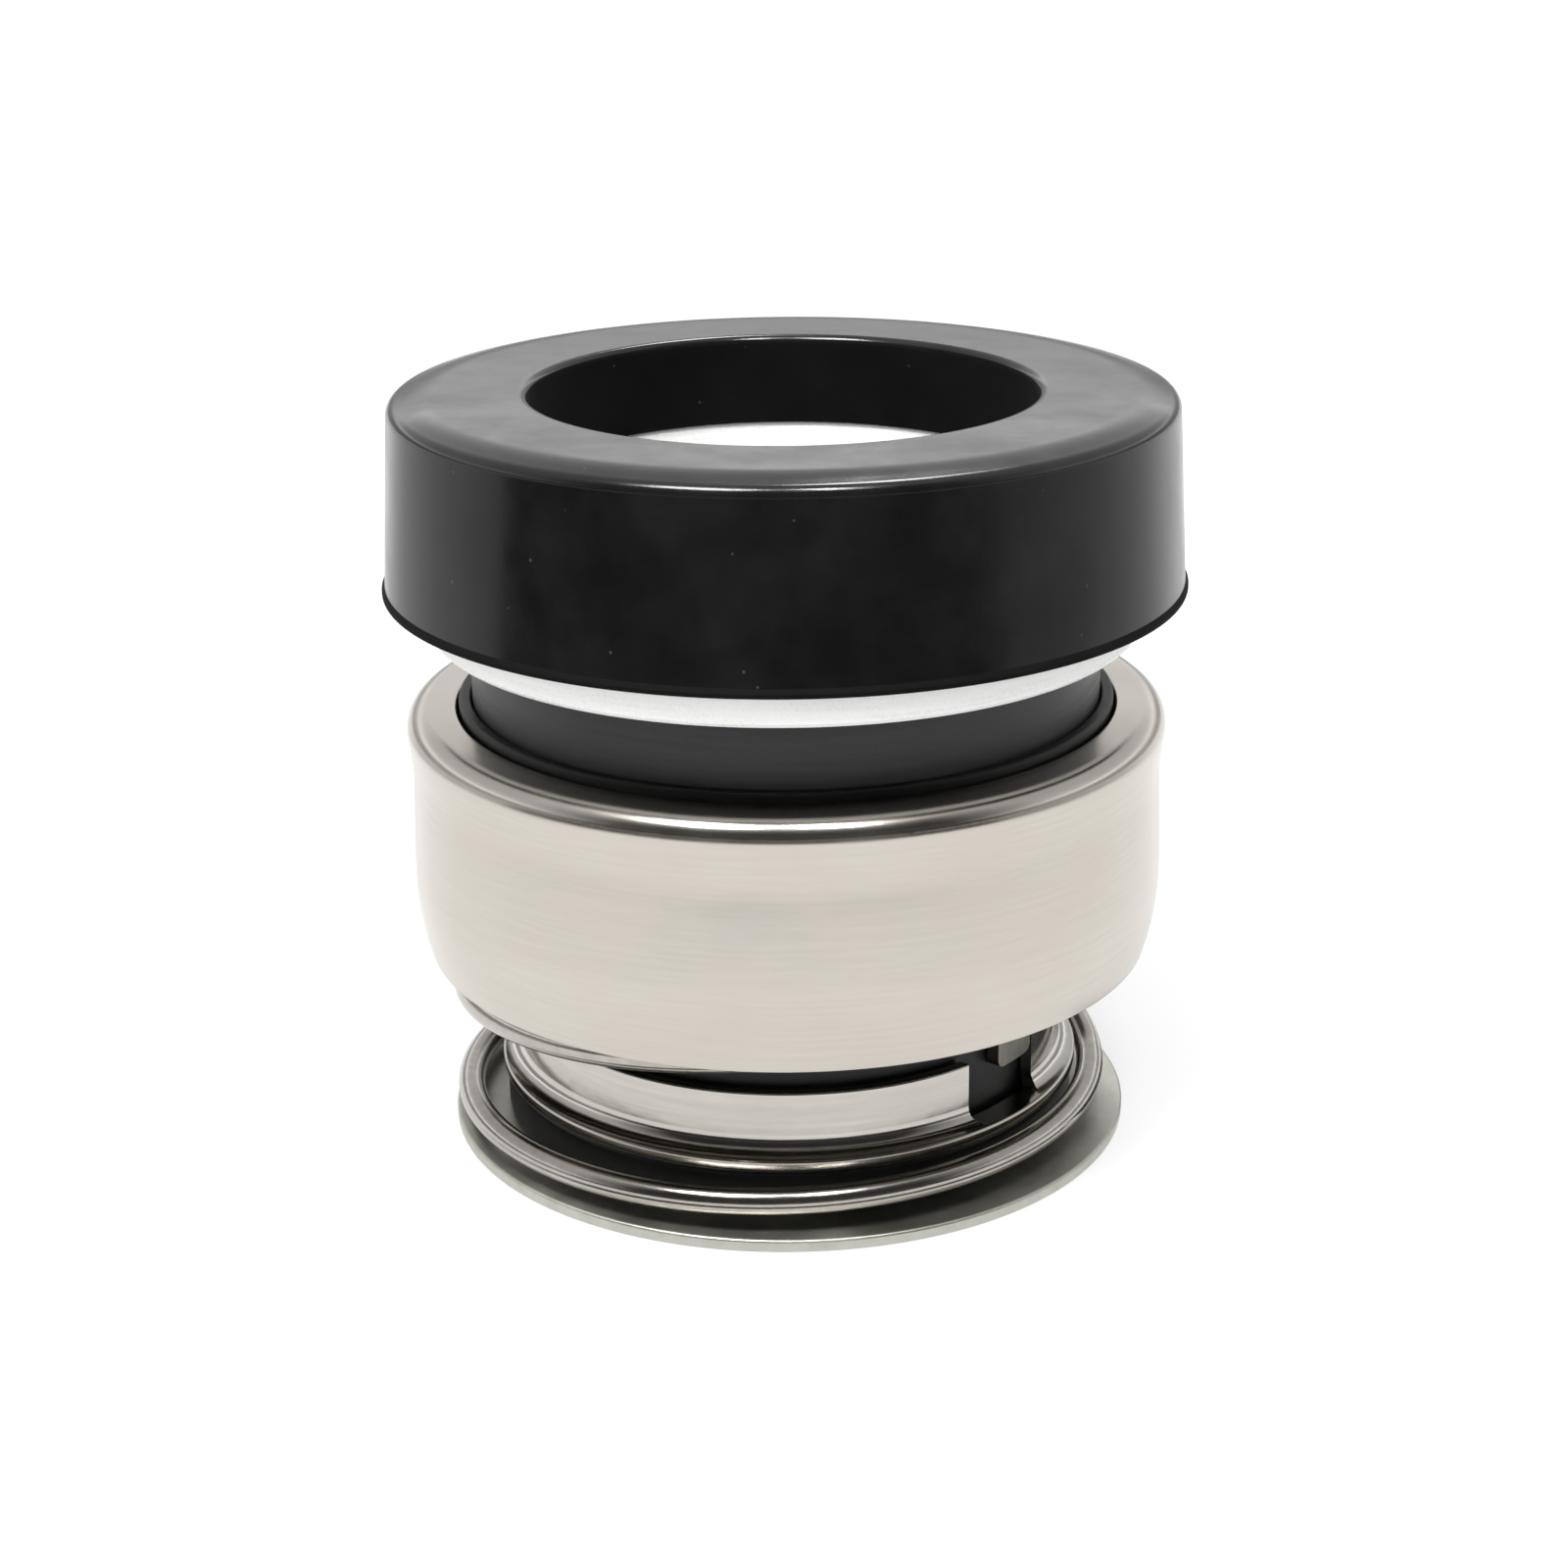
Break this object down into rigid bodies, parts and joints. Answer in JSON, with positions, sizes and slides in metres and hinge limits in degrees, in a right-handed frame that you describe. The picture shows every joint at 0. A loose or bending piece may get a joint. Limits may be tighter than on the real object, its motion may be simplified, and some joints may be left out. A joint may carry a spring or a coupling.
{
  "type": "component mechanical seal",
  "caption": "Rubber-bellows shaft seal: sprung rotating head in a steel shell with a carbon face, under a ceramic seat in a rubber cup.",
  "frame": {"origin": "middle of the spring holder's underside, on the shaft's axis", "axes": "+Z along the shaft's axis from the spring holder to the seat cup; -Y is the side seen in the picture"},
  "size_m": [0.035, 0.035, 0.0333],
  "materials": {
    "stamped_steel": "satin",
    "drawn_steel": "polished",
    "spring_steel": "drawn wire",
    "shell_steel": "satin",
    "bellows_rubber": "moulded",
    "cup_rubber": "moulded",
    "carbon": "lapped",
    "alumina": "ground"
  },
  "bodies": {
    "tail": {"spring_holder": "stamped_steel", "drive_band": "drawn_steel", "bellows": "bellows_rubber", "coil_spring": "spring_steel"},
    "head": {"retainer": "stamped_steel", "shell": "shell_steel", "carbon_ring": "carbon"},
    "seat": {"ceramic_seat": "alumina", "seat_cup": "cup_rubber"}
  },
  "joints": [
    {"name": "head_travel", "type": "slide", "parent": "tail", "child": "head", "axis": [0, 0, 1], "range_m": [-0.0018, 0], "stiffness_N_per_m": 9000, "deforming": ["coil_spring", "bellows"]},
    {"name": "seat_spin", "type": "hinge", "parent": "head", "child": "seat", "pos_m": [0, 0, 0.02305], "axis": [0, 0, 1], "continuous": true}
  ]
}
